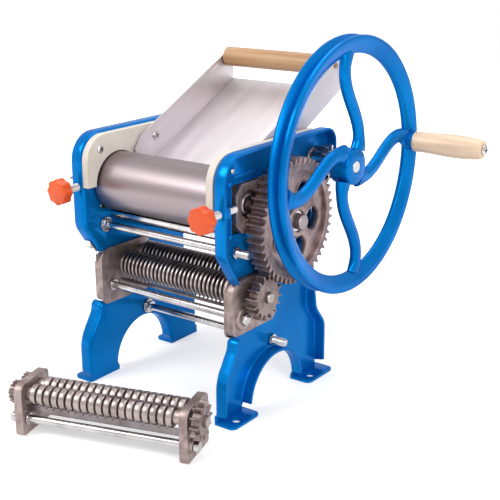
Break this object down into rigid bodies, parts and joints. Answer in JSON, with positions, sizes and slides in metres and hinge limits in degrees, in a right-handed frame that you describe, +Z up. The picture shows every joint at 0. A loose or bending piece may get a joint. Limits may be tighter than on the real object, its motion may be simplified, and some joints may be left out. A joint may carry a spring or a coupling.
{
  "type": "manual noodle maker",
  "caption": "Hand-cranked noodle maker: dough rollers in a painted stand, spoked handwheel, gear train, sloped dough tray, fitted ring cutter and a loose spare cutter in front.",
  "frame": {"origin": "middle of the bounding box at the bench surface under the feet", "axes": "+X towards the handwheel side along the rollers, -Y to the front where noodles come out, +Z up"},
  "size_m": [0.3846, 0.4826, 0.4119],
  "materials": {
    "blue_paint": "gloss blue paint on sheet steel and cast iron",
    "cream_plastic": "smooth cream plastic",
    "bright_steel": "bright turned or plated steel",
    "satin_steel": "satin ground rollers",
    "tray_steel": "satin stainless sheet",
    "cast_metal": "bare cast metal, brown-grey",
    "chrome": "bright plated",
    "orange_plastic": "moulded, slightly glossy",
    "beech": "turned, thinly varnished"
  },
  "bodies": {
    "frame": {"side_frame_left": "blue_paint", "side_frame_right": "blue_paint", "liner_left": "cream_plastic", "liner_right": "cream_plastic", "front_tie_rod": "bright_steel", "lower_tie_rod": "bright_steel", "rear_bearing_left": "cast_metal", "rear_bearing_right": "cast_metal", "shaft_bearing_left": "cast_metal", "shaft_bearing_right": "cast_metal", "front_scraper": "bright_steel", "rear_scraper": "bright_steel", "tray": "tray_steel", "latch_screw_left": "chrome", "cutter_plate_left": "cast_metal", "cutter_plate_right": "cast_metal", "cutter_tie_rod": "bright_steel", "cutter_comb_front": "bright_steel", "cutter_comb_rear": "bright_steel"},
    "carriage": {"front_bearing_left": "cast_metal", "front_bearing_right": "cast_metal"},
    "front_roller": {"front_roller": "satin_steel", "front_roller_gear": "cast_metal"},
    "knob_left": {"adjusting_knob_left": "orange_plastic", "adjusting_screw_left": "bright_steel"},
    "knob_right": {"adjusting_knob_right": "orange_plastic", "adjusting_screw_right": "bright_steel"},
    "rear_roller": {"rear_roller": "satin_steel", "rear_roller_gear": "cast_metal", "big_gear": "cast_metal", "big_gear_circlip": "bright_steel"},
    "handwheel": {"drive_shaft": "bright_steel", "drive_pinion": "bright_steel", "handwheel": "blue_paint", "handle_spindle": "bright_steel"},
    "grip": {"handle_grip": "beech"},
    "rolling_pin": {"rolling_pin": "beech"},
    "cutter_front": {"cutter_front_roller": "satin_steel", "cutter_drive_gear": "cast_metal", "cutter_sync_gear_front": "cast_metal"},
    "cutter_rear": {"cutter_rear_roller": "satin_steel", "cutter_sync_gear_rear": "cast_metal"},
    "latch_left": {"cutter_latch_left": "chrome"},
    "spare_frame": {"spare_plate_left": "cast_metal", "spare_plate_right": "cast_metal", "spare_tie_rod": "bright_steel", "spare_comb_front": "bright_steel", "spare_comb_rear": "bright_steel"},
    "spare_front": {"spare_front_roller": "satin_steel", "spare_drive_gear": "cast_metal", "spare_sync_gear_front": "cast_metal"},
    "spare_rear": {"spare_rear_roller": "satin_steel", "spare_sync_gear_rear": "cast_metal"}
  },
  "joints": [
    {"name": "handwheel_spin", "type": "hinge", "parent": "frame", "child": "handwheel", "pos_m": [-0.0613, 0.09308, 0.26442], "axis": [1, 0, 0], "continuous": true},
    {"name": "rear_roller_spin", "type": "hinge", "parent": "frame", "child": "rear_roller", "pos_m": [-0.0613, 0.02452, 0.21086], "axis": [1, 0, 0], "continuous": true},
    {"name": "roller_gap_slide", "type": "slide", "parent": "frame", "child": "carriage", "axis": [0, -1, 0], "range_m": [-0.0011, 0.0025]},
    {"name": "front_roller_spin", "type": "hinge", "parent": "carriage", "child": "front_roller", "pos_m": [-0.0613, -0.04018, 0.2413], "axis": [1, 0, 0], "continuous": true},
    {"name": "knob_left_turn", "type": "hinge", "parent": "carriage", "child": "knob_left", "pos_m": [-0.1638, -0.12, 0.2413], "axis": [0, -1, 0], "range_deg": [-265, 601]},
    {"name": "knob_right_turn", "type": "hinge", "parent": "carriage", "child": "knob_right", "pos_m": [0.0412, -0.12, 0.2413], "axis": [0, -1, 0], "range_deg": [-265, 601]},
    {"name": "grip_spin", "type": "hinge", "parent": "handwheel", "child": "grip", "pos_m": [-0.0613, 0.22786, 0.27196], "axis": [1, 0, 0], "continuous": true},
    {"name": "rolling_pin_spin", "type": "hinge", "parent": "frame", "child": "rolling_pin", "pos_m": [-0.0613, 0.16482, 0.36548], "axis": [1, 0, 0], "continuous": true},
    {"name": "cutter_front_spin", "type": "hinge", "parent": "frame", "child": "cutter_front", "pos_m": [-0.0613, -0.03132, 0.13649], "axis": [1, 0, 0], "continuous": true},
    {"name": "cutter_rear_spin", "type": "hinge", "parent": "frame", "child": "cutter_rear", "pos_m": [-0.0613, -0.0003, 0.14196], "axis": [1, 0, 0], "continuous": true},
    {"name": "latch_left_turn", "type": "hinge", "parent": "frame", "child": "latch_left", "pos_m": [-0.1633, -0.07585, 0.16843], "axis": [0, 0.8329, 0.5534], "range_deg": [0, 100]},
    {"name": "spare_lift", "type": "slide", "parent": "frame", "child": "spare_frame", "axis": [0, 0, 1], "range_m": [0, 0.1]},
    {"name": "spare_front_spin", "type": "hinge", "parent": "spare_frame", "child": "spare_front", "pos_m": [-0.03335, -0.19605, 0.0445], "axis": [0.9568, 0.2907, 0], "continuous": true},
    {"name": "spare_rear_spin", "type": "hinge", "parent": "spare_frame", "child": "spare_rear", "pos_m": [-0.03989, -0.17452, 0.0445], "axis": [0.9568, 0.2907, 0], "continuous": true}
  ],
  "couplings": [
    {"joint": "rear_roller_spin", "follows": "handwheel_spin", "ratio": -0.26087},
    {"joint": "front_roller_spin", "follows": "handwheel_spin", "ratio": 0.26087},
    {"joint": "cutter_front_spin", "follows": "handwheel_spin", "ratio": 0.75},
    {"joint": "cutter_rear_spin", "follows": "handwheel_spin", "ratio": -0.75},
    {"joint": "knob_left_turn", "follows": "roller_gap_slide", "rad_per_m": 4188.8},
    {"joint": "knob_right_turn", "follows": "roller_gap_slide", "rad_per_m": 4188.8},
    {"joint": "spare_rear_spin", "follows": "spare_front_spin", "ratio": -1}
  ]
}
